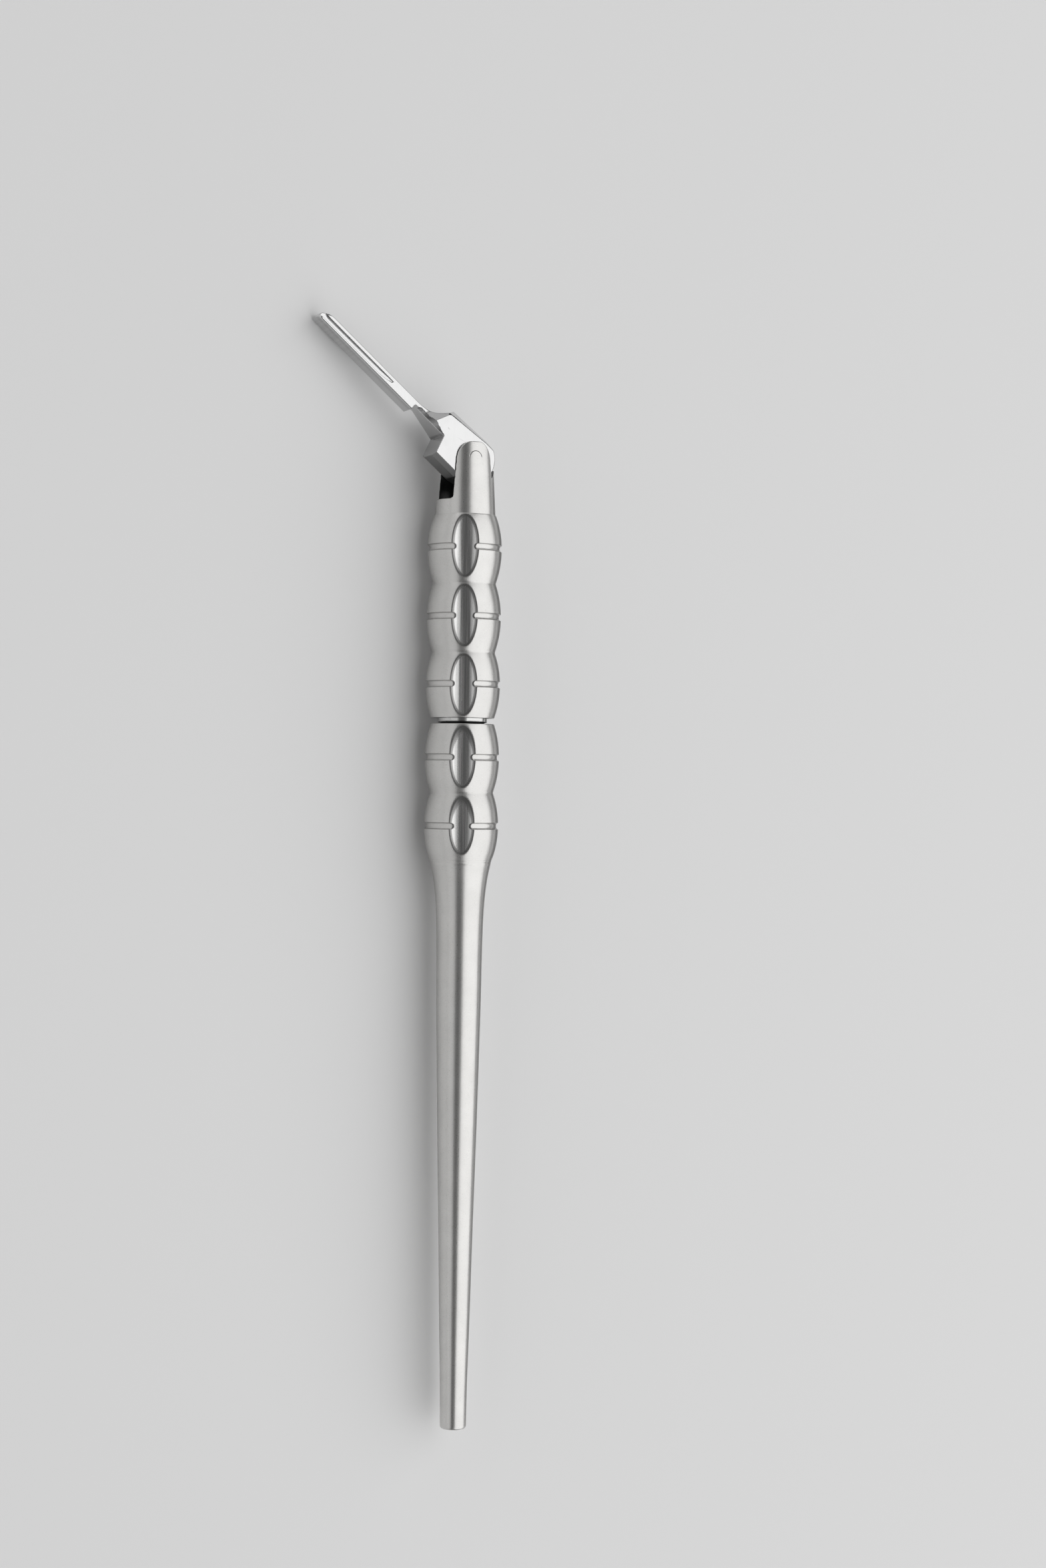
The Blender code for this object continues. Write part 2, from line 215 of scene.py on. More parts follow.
def grip_steel(name, tone, ground):
    """Blasted steel with the scallops ground into it.  The mesh says how deep
    in a scallop a point is: the ground face shows fine lines along the handle,
    and the edge round it is darker."""
    m, nt, b = nodes_of(name)
    b.inputs["Metallic"].default_value = 1.0
    v = coords(nt, (1, 1, 1))
    grain = noise(nt, v, 8200, 2.0)
    cloud = noise(nt, v, 300, 3.0)
    base = mix_colour(nt, remap(nt, cloud, 0.35, 0.65, 0, 1),
                      [t * 0.965 for t in tone], [t * 1.02 for t in tone])
    base = blend(nt, remap(nt, noise(nt, v, 5200, 1.0), 0.60, 0.78, 0, 0.26), base,
                 tuple(t * 0.6 for t in tone))
    base = blend(nt, remap(nt, noise(nt, v, 9500, 0.0), 0.76, 0.84, 0, 0.55), base,
                 (0.88, 0.88, 0.86))
    w = coords(nt, (1, 0.010, 1))
    lines = noise(nt, w, 4300, 2.0, 0.6)
    hair = noise(nt, coords(nt, (1, 0.018, 1)), 11000, 1.0)
    cut = mix_colour(nt, remap(nt, lines, 0.38, 0.66, 0, 1),
                     [t * 0.86 for t in ground], [t * 1.04 for t in ground])
    cut = blend(nt, remap(nt, hair, 0.66, 0.78, 0, 0.5), cut, (0.80, 0.80, 0.79))
    cut = blend(nt, remap(nt, hair, 0.36, 0.22, 0, 0.4), cut, (0.36, 0.36, 0.36))
    inset = painted(nt, "inset")
    face = remap(nt, inset, 0.62, 0.82, 0, 1)
    rim = maths(nt, "MULTIPLY", remap(nt, inset, 0.10, 0.30, 0, 0.66),
                remap(nt, inset, 0.84, 0.62, 0, 1))
    base = blend(nt, face, base, cut)
    base = blend(nt, rim, base, (0.16, 0.16, 0.16))
    # painted shade: dark lines along the edges of the grooves
    base = blend(nt, painted(nt, "marks_and_shade"), base, (0.20, 0.20, 0.195))
    # painted shade on the walls of the slot and the bore
    base = blend(nt, painted(nt, "recess_shade"), base, (0.12, 0.12, 0.12))
    nt.links.new(base, b.inputs["Base Color"])
    rough = nt.nodes.new("ShaderNodeMix")
    nt.links.new(face, rough.inputs["Factor"])
    nt.links.new(remap(nt, grain, 0.3, 0.7, 0.27, 0.34), rough.inputs["A"])
    nt.links.new(remap(nt, lines, 0.3, 0.7, 0.20, 0.29), rough.inputs["B"])
    nt.links.new(rough.outputs["Result"], b.inputs["Roughness"])
    fine = bump(nt, maths(nt, "MULTIPLY", grain, maths(nt, "SUBTRACT", 1.0, face)),
                0.10, 0.00002)
    broad = noise(nt, coords(nt, (1, 0.008, 1)), 1300, 1.0)
    both = maths(nt, "ADD", maths(nt, "MULTIPLY", lines, 0.45), broad)
    nt.links.new(bump(nt, maths(nt, "MULTIPLY", both, face), 0.16, 0.00007, fine),
                 b.inputs["Normal"])
    return m


def polished(name, tone, rough=0.16, marked=False):
    """Polished steel with faint marks of the last abrasive.  A marked mesh
    says where it is stained and scratched, and where shade is painted on it."""
    m, nt, b = nodes_of(name)
    b.inputs["Metallic"].default_value = 1.0
    v = coords(nt, (1, 1, 1))
    cloud = noise(nt, v, 420, 2.0)
    base = mix_colour(nt, remap(nt, cloud, 0.35, 0.65, 0, 1), [t * 0.975 for t in tone], tone)
    if marked:
        # darker where the mesh is stained and scratched, and where shade is painted
        base = blend(nt, painted(nt, "marks_and_shade"), base, (0.10, 0.10, 0.10))
    nt.links.new(base, b.inputs["Base Color"])
    fine = noise(nt, coords(nt, (1, 0.06, 1), (0.0, 0.0, 0.7)), 6000, 2.0)
    dull = remap(nt, fine, 0.3, 0.7, rough - 0.03, rough + 0.04)
    if marked:
        dull = maths(nt, "ADD", dull, maths(nt, "MULTIPLY", painted(nt, "marks_and_shade"), 0.22))
    nt.links.new(dull, b.inputs["Roughness"])
    nt.links.new(bump(nt, fine, 0.05, 0.00002), b.inputs["Normal"])
    return m


SATIN = (0.640, 0.634, 0.620)
mat_grip = grip_steel("grip_steel", SATIN, (0.73, 0.727, 0.718))
# near-black steel: painted shadow for the gap between the two grips
mat_gap_shadow = satin("gap_painted_shadow", (0.05, 0.05, 0.05))
mat_polished = polished("polished_steel", (0.655, 0.655, 0.655), marked=True)
mat_pin = satin("pin_steel", (0.655, 0.65, 0.635))
mat_rod = polished("rod_steel", (0.45, 0.45, 0.46), 0.28)
mat_thread = polished("thread_steel", (0.66, 0.66, 0.65), 0.2)


# ------------------------------------------------------------ mesh helpers --
def piece(name, verts, faces, mats, index, body, node, values=None, normals=None):
    """One piece from points in the handle's frame.  values are numbers that a
    material reads at the points, and normals replace the last points' own."""
    mesh = bpy.data.meshes.new(name)
    mesh.from_pydata(to_world(verts).tolist(), [], faces)
    for m in mats:
        mesh.materials.append(m)
    bm = bmesh.new()
    bm.from_mesh(mesh)
    bmesh.ops.recalc_face_normals(bm, faces=bm.faces)
    bm.to_mesh(mesh)
    bm.free()
    mesh.shade_smooth()
    if index is not None:
        mesh.polygons.foreach_set("material_index", np.asarray(index, np.int32))
    for key, v in (values or {}).items():
        layer = mesh.attributes.new(key, "FLOAT", "POINT")
        layer.data.foreach_set("value", np.ascontiguousarray(v, np.float32))
    mesh.update()
    if normals is not None:
        own = np.empty(len(mesh.vertices) * 3, np.float32)
        mesh.vertex_normals.foreach_get("vector", own)
        own = own.reshape(-1, 3)
        own[len(own) - len(normals):] = normals @ LAY.T
        mesh.normals_split_custom_set_from_vertices(own.tolist())
    obj = bpy.data.objects.new(name, mesh)
    bpy.context.scene.collection.objects.link(obj)
    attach(obj, body)
    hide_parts(node)
    return obj


def smin(a, b, k):
    h = np.maximum(k - np.abs(a - b), 0.0) / k
    return np.minimum(a, b) - h * h * k * 0.25


def smax(a, b, k):
    return -smin(-a, -b, k)


def pchip(x, y, q):
    """Smooth curve through points, with no overshoot."""
    x, y = np.asarray(x, float), np.asarray(y, float)
    h = np.diff(x)
    d = np.diff(y) / h
    m = np.zeros(len(x))
    m[0], m[-1] = d[0], d[-1]
    for i in range(1, len(x) - 1):
        if d[i - 1] * d[i] > 0:
            w1, w2 = 2 * h[i] + h[i - 1], h[i] + 2 * h[i - 1]
            m[i] = (w1 + w2) / (w1 / d[i - 1] + w2 / d[i])
    q = np.asarray(q, float)
    k = np.clip(np.searchsorted(x, q) - 1, 0, len(x) - 2)
    t = (q - x[k]) / h[k]
    return ((1 + 2 * t) * (1 - t) ** 2 * y[k] + t * (1 - t) ** 2 * h[k] * m[k]
            + t * t * (3 - 2 * t) * y[k + 1] + t * t * (t - 1) * h[k] * m[k + 1])


def graded(z0, z1, base, marks, growth=0.30):
    """Stations from z0 to z1, close together near each (z, half, step) mark."""
    out, z = [z0], z0
    while z < z1 - 1e-9:
        h = base
        for mz, half, step in marks:
            h = min(h, step + growth * max(abs(z + 0.5 * step - mz) - half, 0.0))
        z += h
        out.append(z)
    out = np.array(out)
    return z0 + (out - z0) * (z1 - z0) / (out[-1] - z0)


def rings(count, rows):
    """Quads between rows of count points each, all rows closed round."""
    r = np.arange(rows - 1)[:, None] * count
    i = np.arange(count)[None, :]
    j = (i + 1) % count
    return np.stack([r + i, r + j, r + count + j, r + count + i], -1).reshape(-1, 4)


def zipper(one, two, az_one, az_two):
    """Triangles between two closed loops that run round the axis; one and two
    are vertex numbers and az_ their azimuths."""
    o1, o2 = np.argsort(az_one), np.argsort(az_two)
    one, az_one = np.asarray(one)[o1], np.asarray(az_one)[o1]
    two, az_two = np.asarray(two)[o2], np.asarray(az_two)[o2]
    n1, n2 = len(one), len(two)
    tris, i, j = [], 0, 0
    while i < n1 or j < n2:
        a_next = az_one[(i + 1) % n1] + (math.tau if i + 1 >= n1 else 0.0)
        b_next = az_two[(j + 1) % n2] + (math.tau if j + 1 >= n2 else 0.0)
        if j >= n2 or (i < n1 and a_next <= b_next):
            tris.append((int(one[i % n1]), int(one[(i + 1) % n1]), int(two[j % n2])))
            i += 1
        else:
            tris.append((int(one[i % n1]), int(two[(j + 1) % n2]), int(two[j % n2])))
            j += 1
    return tris


def surface_net(field, lo, hi, step):
    """Quads on the zero level of field(x, y, z), which is below zero inside."""
    n = [int(math.ceil((hi[k] - lo[k]) / step)) + 1 for k in range(3)]
    axes = [lo[k] + step * np.arange(n[k]) for k in range(3)]
    f = np.empty(n, np.float32)
    for i0 in range(0, n[0], 48):
        x, y, z = np.meshgrid(axes[0][i0:i0 + 48], axes[1], axes[2], indexing="ij")
        f[i0:i0 + 48] = field(x, y, z)
    inside = f < 0
    corner = [(i, j, k) for i in (0, 1) for j in (0, 1) for k in (0, 1)]
    m = [v - 1 for v in n]

    def cut(a, i, j, k):
        return a[i:i + m[0], j:j + m[1], k:k + m[2]]

    count = sum(cut(inside, *q).astype(np.int8) for q in corner)
    active = (count > 0) & (count < 8)
    cells = np.argwhere(active)
    number = -np.ones(m, np.int64)
    number[tuple(cells.T)] = np.arange(len(cells))
    total = np.zeros((len(cells), 3))
    hits = np.zeros(len(cells))
    values = {q: f[cells[:, 0] + q[0], cells[:, 1] + q[1], cells[:, 2] + q[2]].astype(float)
              for q in corner}
    for q in corner:
        for d in range(3):
            if q[d] == 0:
                w = list(q)
                w[d] = 1
                w = tuple(w)
                va, vb = values[q], values[w]
                hit = (va < 0) != (vb < 0)
                t = np.where(hit, va / np.where(hit, va - vb, 1.0), 0.0)
                p = np.array(q, float)[None, :].repeat(len(cells), 0)
                p[:, d] += t
                total += p * hit[:, None]
                hits += hit
    centre = total / hits[:, None]
    start = np.array(lo) + (cells + centre) * step
    p = start.copy()
    e = step * 0.02
    for _ in range(5):
        v = field(p[:, 0], p[:, 1], p[:, 2])
        g = np.stack([(field(*(p + np.eye(3)[d] * e).T) - field(*(p - np.eye(3)[d] * e).T))
                      / (2 * e) for d in range(3)], -1)
        size = np.maximum((g * g).sum(1), 1e-3)
        p -= (v / size)[:, None] * g
        off = p - start
        far = np.linalg.norm(off, axis=1)
        p = start + off * np.minimum(1.0, 0.7 * step / np.maximum(far, 1e-12))[:, None]
    e = step * 0.12
    g = np.stack([(field(*(p + np.eye(3)[d] * e).T) - field(*(p - np.eye(3)[d] * e).T))
                  for d in range(3)], -1)
    g /= np.maximum(np.linalg.norm(g, axis=1), 1e-12)[:, None]
    faces = []
    for d in range(3):
        e1, e2 = (d + 1) % 3, (d + 2) % 3
        lo_side = [slice(None)] * 3
        hi_side = [slice(None)] * 3
        lo_side[d], hi_side[d] = slice(0, n[d] - 1), slice(1, n[d])
        change = inside[tuple(lo_side)] != inside[tuple(hi_side)]
        at = np.argwhere(change)
        ok = ((at[:, e1] > 0) & (at[:, e1] < n[e1] - 1)
              & (at[:, e2] > 0) & (at[:, e2] < n[e2] - 1))
        at = at[ok]
        quad = []
        for s1, s2 in ((-1, -1), (0, -1), (0, 0), (-1, 0)):
            cell = at.copy()
            cell[:, e1] += s1
            cell[:, e2] += s2
            quad.append(number[cell[:, 0], cell[:, 1], cell[:, 2]])
        quad = np.stack(quad, -1)
        flip = inside[at[:, 0], at[:, 1], at[:, 2]]
        quad[~flip] = quad[~flip][:, ::-1]
        faces.append(quad)
    return p, np.concatenate(faces), g


def open_loops(faces, allowed):
    """Vertex loops along the edges that only one face uses, allowed(v) only."""
    uses = {}
    for f in faces:
        for i in range(len(f)):
            a, b = int(f[i]), int(f[(i + 1) % len(f)])
            uses.setdefault((min(a, b), max(a, b)), []).append((a, b))
    follow = {u[0][0]: u[0][1] for u in uses.values()
              if len(u) == 1 and allowed(u[0][0]) and allowed(u[0][1])}
    loops = []
    while follow:
        start = next(iter(follow))
        loop, at = [start], follow.pop(start)
        while at != start:
            loop.append(at)
            at = follow.pop(at)
        loops.append(loop)
    return loops


# ---------------------------------------------------------- turned outlines --
BULB_R, CREASE_R, END_R = 5.26, 4.46, 4.50
GROOVE_HALF, GROOVE_D = 0.46, 0.30
SCALLOP_R = 5.20
OVALS = [(81.29, 89.48), (90.64, 99.36), (100.74, 109.46), (110.46, 119.23), (120.18, 129.02)]
SECTORS = [math.radians(v) for v in (-20.6, 99.4, 219.4)]
COLUMNS = 56                                   # in each 120 degree sector
FRONT = [(100.5, 109.8, END_R, CREASE_R), (109.8, 119.55, CREASE_R, CREASE_R),
         (119.55, 129.2, CREASE_R, 4.40)]
BACK = [(80.4, 90.0, 4.42, CREASE_R), (90.0, 99.7, CREASE_R, END_R)]
TAIL = [(0.0, 1.87), (0.45, 1.87), (4.0, 1.90), (15.0, 2.16), (29.4, 2.47), (40.0, 2.74),
        (51.0, 2.98), (60.5, 3.16), (69.9, 3.28), (74.0, 3.44), (77.4, 3.79), (79.2, 4.12),
        (80.6, 4.475), (81.4, 4.80), (84.0, 5.90)]


def barrel(z, bulbs):
    """Radius of the bulbs, before their grooves."""
    r = None
    for z0, z1, r0, r1 in bulbs:
        mid, half = 0.5 * (z0 + z1), 0.5 * (z1 - z0)
        end = np.where(z > mid, r1, r0)
        one = end + (BULB_R - end) * (1.0 - (np.abs(z - mid) / half) ** 2.1)
        r = one if r is None else smax(r, one, 0.13)
    return r


def grooved(z, r, bulbs):
    for z0, z1, _, _ in bulbs:
        x = (z - (0.5 * (z0 + z1) + 0.10)) / GROOVE_HALF
        depth = np.where(np.abs(x) < 1, np.sqrt(np.maximum(1 - x * x, 0)),
                         -4.0 * (np.abs(x) - 1))
        r = smin(r, BULB_R + 0.01 - (GROOVE_D + 0.01) * depth, 0.035)
    return r


def fork_cone(z):
    return 4.30 - 0.0556 * (z - 129.3)


def front_radius(z):
    r = barrel(z, FRONT)
    r = np.where(z > 127.0, smax(r, fork_cone(z), 0.06), r)
    return grooved(z, r, FRONT)


def back_radius(z):
    r = barrel(z, BACK)
    t = pchip([p[0] for p in TAIL], [p[1] for p in TAIL], np.clip(z, 0, 84.0))
    r = np.where(z < 82.5, smin(r, t, 0.05), r)
    r = np.where(z < 80.0, t, r)
    r = r - 0.015 * np.exp(-((z - 80.42) / 0.05) ** 2)
    return grooved(z, r, BACK)


def scallop_centre(z, radius):
    """How far from the handle's axis the scallop's own axis is at z.  Each
    scallop leans a little, so that its oval ends nearer the bulb's upper end."""
    lo, hi = min(OVALS, key=lambda o: abs(z - 0.5 * (o[0] + o[1])))
    r_lo, r_hi = radius(np.array([lo, hi]))
    return SCALLOP_R + float(r_lo + (r_hi - r_lo) * (z - lo) / (hi - lo))


def scallop_edge(r, centre):
    """Half angle at which the scallop reaches radius r."""
    v = (r * r + centre ** 2 - SCALLOP_R ** 2) / (2 * r * centre)
    return np.arccos(np.clip(v, -1, 1))


def scallop_radius(delta, centre):
    under = SCALLOP_R ** 2 - (centre * np.sin(delta)) ** 2
    near = centre * np.cos(delta) - np.sqrt(np.maximum(under, 0.0))
    return np.where((under > 0) & (np.cos(delta) > 0), near, 50.0)


def columns(edge):
    """Azimuths from the scallop's middle, dense on both sides of its edge."""
    fine = np.linspace(0, math.pi / 3, 481)
    size = np.minimum(0.34, 0.045 + 0.26 * np.maximum(np.abs(fine - edge) * 5.0 - 0.10, 0.0))
    dens = np.concatenate([[0], np.cumsum(0.5 * (1 / size[1:] + 1 / size[:-1]))])
    share = np.linspace(0, dens[-1], COLUMNS // 2 + 1)
    half = np.interp(share, dens, fine)
    return np.concatenate([-half[::-1], half[1:-1]])


def turned(profile, outer, radius, z_low, z_high):
    """Rows round the axis.  profile holds (r, z); where outer is set the row
    follows radius(z) and takes the scallops, which run from z_low to z_high.
    Returns points by row, and how far inside a scallop each point is: 0.22 on
    its edge and 1 where the rounding of the edge has ended."""
    rows, marks = [], []
    for (r, z), is_outer in zip(profile, outer):
        if is_outer:
            r = float(radius(np.array([z]))[0])
        far = scallop_centre(z, radius) if z_low < z < z_high else 9.76
        edge = float(scallop_edge(max(r, 4.0), far)) if is_outer else 0.20
        if not z_low < z < z_high:
            edge = 0.20 if not is_outer else min(edge, 0.20)
        d = columns(edge)
        if is_outer:
            # the edge is rounded by the same width where the two faces meet
            # at a shallow angle, near the ends of the oval
            lean = float(radius(np.array([z + 0.02]))[0] - radius(np.array([z - 0.02]))[0]) / 0.04
            lean = min(abs(lean), 0.45)
            cosine = (r * r + SCALLOP_R ** 2 - far ** 2) / (2 * r * SCALLOP_R)
            across = math.tan(math.pi - math.acos(max(-1.0, min(-0.5, cosine))))
            k = 0.150 * math.sqrt(across ** 2 + lean ** 2) / 0.9
            # broader towards the upper end of the rear bulbs' ovals
            for z0, z1, _, _ in BACK:
                if z0 < z < z1:
                    upper = min(max((z - z0 - 5.2) / 2.6, 0.0), 1.0)
                    k *= 1.0 + 0.7 * upper * upper * (3 - 2 * upper)
            k = max(k, 0.03)
            # the dark band round the edge is half as wide where a groove runs out
            in_groove = any(abs(z - 0.5 * (z0 + z1) - 0.10) < GROOVE_HALF - 0.03
                            for z0, z1, _, _ in FRONT + BACK)
            band = 0.5 * k if in_groove else k
        row, mark = [], []
        for centre in SECTORS:
            az = centre + d
            if is_outer and z_low < z < z_high:
                sc = scallop_radius(d, far)
                rr = smin(np.full_like(d, r), sc, k)
                mark.append(np.clip(0.22 + 0.36 * (r - sc) / band, 0, 1))
            else:
                rr = np.full_like(d, r)
                mark.append(np.zeros_like(d))
            row.append(np.stack([rr * np.cos(az), rr * np.sin(az), np.full_like(d, z)], -1))
        rows.append(np.concatenate(row))
        marks.append(np.concatenate(mark))
    return np.array(rows), np.array(marks)


def groove_lines(verts, inset, bulbs):
    """Painted shade: fine dark lines along both edges of each groove, outside the scallops."""
    r = np.hypot(verts[:, 0], verts[:, 1])
    line = np.zeros(len(verts))
    for z0, z1, _, _ in bulbs:
        off = np.abs(verts[:, 2] - (0.5 * (z0 + z1) + 0.10)) - GROOVE_HALF
        line = np.maximum(line, 0.42 * np.exp(-(off / 0.055) ** 2))
    return line * (r > BULB_R - 0.60) * np.clip(1.0 - inset / 0.15, 0, 1)


def bulb_marks(bulbs, radius):
    out = []
    for z0, z1, _, _ in bulbs:
        g = 0.5 * (z0 + z1) + 0.10
        out += [(g - 0.45, 0.06, 0.022), (g + 0.45, 0.06, 0.022), (g, 0.30, 0.075),
                (z0, 0.10, 0.06), (z1, 0.10, 0.06)]
        out += [(e, 0.22, 0.05) for oval in OVALS for e in oval if z0 < e < z1]
    return out


# -------------------------------------------------------------- front grip --
SLOT_HALF, SLOT_BOTTOM, EAR_TOP, EAR_FLAT, EAR_Y, EAR_Z = 2.85, 131.3, 139.35, 0.50, 2.20, 3.20
BORE_R, SOCKET_R, SOCKET_END = 1.70, 3.80, 108.2
PIN_R = 0.85
FORK_FROM = 129.22


def fork_field(x, y, z):
    r = np.sqrt(x * x + y * y)
    body = (r - fork_cone(z))
    # the ears' rounded outline, seen along the pin
    qy = np.maximum(np.abs(y) - EAR_FLAT, 0.0) / EAR_Y
    qz = np.maximum(z - (EAR_TOP - 0.02 - EAR_Z), 0.0) / EAR_Z
    q = np.maximum(np.sqrt(qy * qy + qz * qz), 1e-6)
    ear = (q - 1.0) * (EAR_Y * qy + EAR_Z * qz) / q
    # below the shoulders the outline opens out again, clear of the back wall
    ear = np.minimum(ear, (z - 136.13) * 0.89 + (np.abs(y) - 2.70) * 0.45)
    body = smax(body, ear, 0.13)
    # slot: cut from the front down to its flat floor, whose corners are
    # rounded, and behind the pin round the hub only
    k = 0.35
    sx = np.abs(x) - (SLOT_HALF - k)
    sz = (SLOT_BOTTOM + k) - z
    slot = np.sqrt(np.maximum(sx, 0) ** 2 + np.maximum(sz, 0) ** 2) \
        + np.minimum(np.maximum(sx, sz), 0) - k
    seat = np.minimum(np.sqrt(y * y + (z - PIVOT_Z) ** 2) - 3.90, 135.9 - z)
    seat = smax(seat, np.abs(x) - SLOT_HALF, 0.15)
    slot = smin(smax(slot, y, 0.05), seat, 0.05)
    body = smax(body, -slot, 0.10)
    bore = r - BORE_R
    body = smax(body, -bore, 0.12)
    # the pin sits low in its hole, so that the gap shows only over it
    hole = np.sqrt(y * y + (z - PIVOT_Z - 0.045) ** 2) - (PIN_R + 0.010)
    return smax(body, -hole, 0.02)


front_z = graded(100.56, 129.10, 0.21, bulb_marks(FRONT, front_radius))[::-1]
profile = [(0, z) for z in front_z] + [
    (4.49, 100.53), (4.46, 100.505), (4.40, 100.5), (3.92, 100.5), (3.86, 100.52),
    (3.80, 100.6), (3.80, 104.0), (3.80, 108.1), (3.70, 108.2), (1.85, 108.2), (1.70, 108.35),
    (1.70, 115.0), (1.70, 122.0), (1.70, 129.10)]
outer = [True] * len(front_z) + [False] * (len(profile) - len(front_z))
grid, in_scallop = turned(profile, outer, front_radius, 100.60, 129.15)
count = 3 * COLUMNS
quads = rings(count, len(profile))
fork_v, fork_f, fork_n = surface_net(fork_field, (-4.6, -4.6, FORK_FROM), (4.6, 4.6, 139.6),
                                     0.092)
verts = np.concatenate([grid.reshape(-1, 3), fork_v])
base_n = len(profile) * count
fork_f = fork_f + base_n
loops = open_loops(fork_f, lambda v: verts[v, 2] < FORK_FROM + 0.25)
top_ring = np.arange(count)
bore_ring = np.arange(base_n - count, base_n)
faces = quads.tolist() + fork_f.tolist()
for loop in loops:
    p = verts[loop]
    near = np.hypot(p[:, 0], p[:, 1]).mean()
    ring = top_ring if near > 3.0 else bore_ring
    faces += zipper(ring, loop, np.arctan2(verts[ring, 1], verts[ring, 0]),
                    np.arctan2(p[:, 1], p[:, 0]))
inset = np.concatenate([in_scallop.reshape(-1), np.zeros(len(fork_v))])
# painted shade: the slot's and the bore's walls, which lie in shadow, are painted dark
middle, lean = fork_v, fork_n
recess_shade = ((np.abs(middle[:, 0]) < SLOT_HALF + 0.06) & (middle[:, 2] > SLOT_BOTTOM - 0.05)
          & (np.abs(lean[:, 0]) > 0.85) & (np.sign(lean[:, 0]) != np.sign(middle[:, 0])))
recess_shade |= (middle[:, 2] < SLOT_BOTTOM + 0.30) & (middle[:, 2] > SLOT_BOTTOM - 0.05) \
    & (lean[:, 2] > 0.5) & (np.abs(middle[:, 0]) < SLOT_HALF)
from_pin = np.hypot(middle[:, 1], middle[:, 2] - PIVOT_Z)
recess_shade |= (from_pin < 3.95) & (middle[:, 2] < 135.85) & (np.abs(middle[:, 0]) < SLOT_HALF - 0.1)
recess_shade |= np.hypot(middle[:, 0], middle[:, 1]) < BORE_R + 0.1
front = piece("front_grip_body", verts, faces, [mat_grip], None,
              "grip", "front_grip",
              {"inset": inset, "marks_and_shade": groove_lines(verts, inset, FRONT),
               "recess_shade": np.concatenate([np.zeros(base_n), recess_shade])}, fork_n)

# --------------------------------------------------------------- rear grip --
PITCH = 0.75
back_z = graded(80.0, 99.64, 0.21, bulb_marks(BACK, back_radius) + [(80.42, 0.10, 0.03)])[::-1]
tail_z = graded(0.50, 79.9, 1.1, [(80.0, 1.5, 0.25), (0.4, 0.2, 0.1)], 0.12)[::-1]
thread_z = np.arange(105.25, 100.62, -0.055)
profile = [(0.0, 105.6), (3.05, 105.6), (3.12, 105.58), (3.45, 105.28)] \
    + [(3.5, z) for z in thread_z] \
    + [(3.5, 100.60), (3.5, 100.5), (3.5, 100.3), (3.5, 99.96), (3.47, 99.92), (3.38, 99.88),
       (3.20, 99.86), (3.12, 99.83), (3.12, 99.77), (3.18, 99.71), (3.30, 99.7), (4.40, 99.7),
       (4.46, 99.695), (4.49, 99.67)]
head_rows = len(profile)
profile += [(0, z) for z in back_z] + [(0, z) for z in tail_z]
outer = [False] * head_rows + [True] * (len(back_z) + len(tail_z))
profile += [(1.865, 0.36), (1.82, 0.20), (1.72, 0.08), (1.55, 0.02), (1.40, 0.0), (0.0, 0.0)]
outer += [False] * 6
grid, in_scallop = turned(profile, outer, back_radius, 81.0, 99.60)
# thread: a helical V that runs out at the plain land
for i, (r, z) in enumerate(profile[:head_rows]):
    if r == 3.5 and z > 100.62:
        az = np.arctan2(grid[i, :, 1], grid[i, :, 0])
        phase = (z / PITCH - az / math.tau) % 1.0
        fade = min(1.0, (z - 100.62) / 0.5)
        rr = 3.5 - 0.36 * fade * (1 - np.abs(2 * phase - 1)) ** 1.0
        grid[i, :, 0], grid[i, :, 1] = rr * np.cos(az), rr * np.sin(az)
quads = rings(count, len(profile))
row_of = quads[:, 0] // count
index = (row_of < head_rows - 4).astype(int)
# painted shadow: the relief at the foot of the spigot takes a near-black steel, for the gap's
# shadow
relief = [i for i, (r, z) in enumerate(profile[:head_rows]) if z <= 99.89 and r < 4.3]
index[(row_of >= relief[0]) & (row_of <= relief[-1])] = 2
verts = grid.reshape(-1, 3)
flat = in_scallop.reshape(-1)
# the two end rows are points: one vertex each, with triangles
keep = np.arange(len(verts))
keep[:count] = 0
keep[-count:] = len(verts) - 1
used = np.unique(keep)
renumber = -np.ones(len(verts), int)
renumber[used] = np.arange(len(used))
faces = []
for f in quads:
    g = [int(renumber[keep[v]]) for v in f]
    u = [v for i, v in enumerate(g) if v != g[i - 1]]
    faces.append(u)
rear = piece("rear_grip_body", verts[used], faces, [mat_grip, mat_thread, mat_gap_shadow], index,
             "rear", "rear_grip",
             {"inset": flat[used], "marks_and_shade": groove_lines(verts[used], flat[used], BACK),
              "recess_shade": np.zeros(len(used))})

# ---------------------------------------------------------------- lock rod --
rod_end = PIVOT_Z - 3.6 - 0.30
profile = [(0, rod_end), (0.6, rod_end - 0.02), (1.0, rod_end - 0.08), (1.2, rod_end - 0.18),
           (1.34, rod_end - 0.34), (1.40, rod_end - 0.55), (1.40, 120), (1.40, 107.55),
           (1.46, 107.44), (1.60, 107.4), (3.30, 107.4), (3.37, 107.37), (3.40, 107.3),
           (3.40, 106.05), (3.37, 105.98), (3.30, 105.95), (0, 105.95)]
steps = 72
az = np.arange(steps) * math.tau / steps
verts, faces, start = [], [], []
for r, z in profile:
    start.append(len(verts))
    if r == 0:
        verts.append((0, 0, z))
    else:
        verts += [(r * math.cos(t), r * math.sin(t), z) for t in az]
for i in range(len(profile) - 1):
    a0, b0 = start[i], start[i + 1]
    for k in range(steps):
        k2 = (k + 1) % steps
        if profile[i][0] == 0:
            faces.append((a0, b0 + k2, b0 + k))
        elif profile[i + 1][0] == 0:
            faces.append((a0 + k, a0 + k2, b0))
        else:
            faces.append((a0 + k, a0 + k2, b0 + k2, b0 + k))
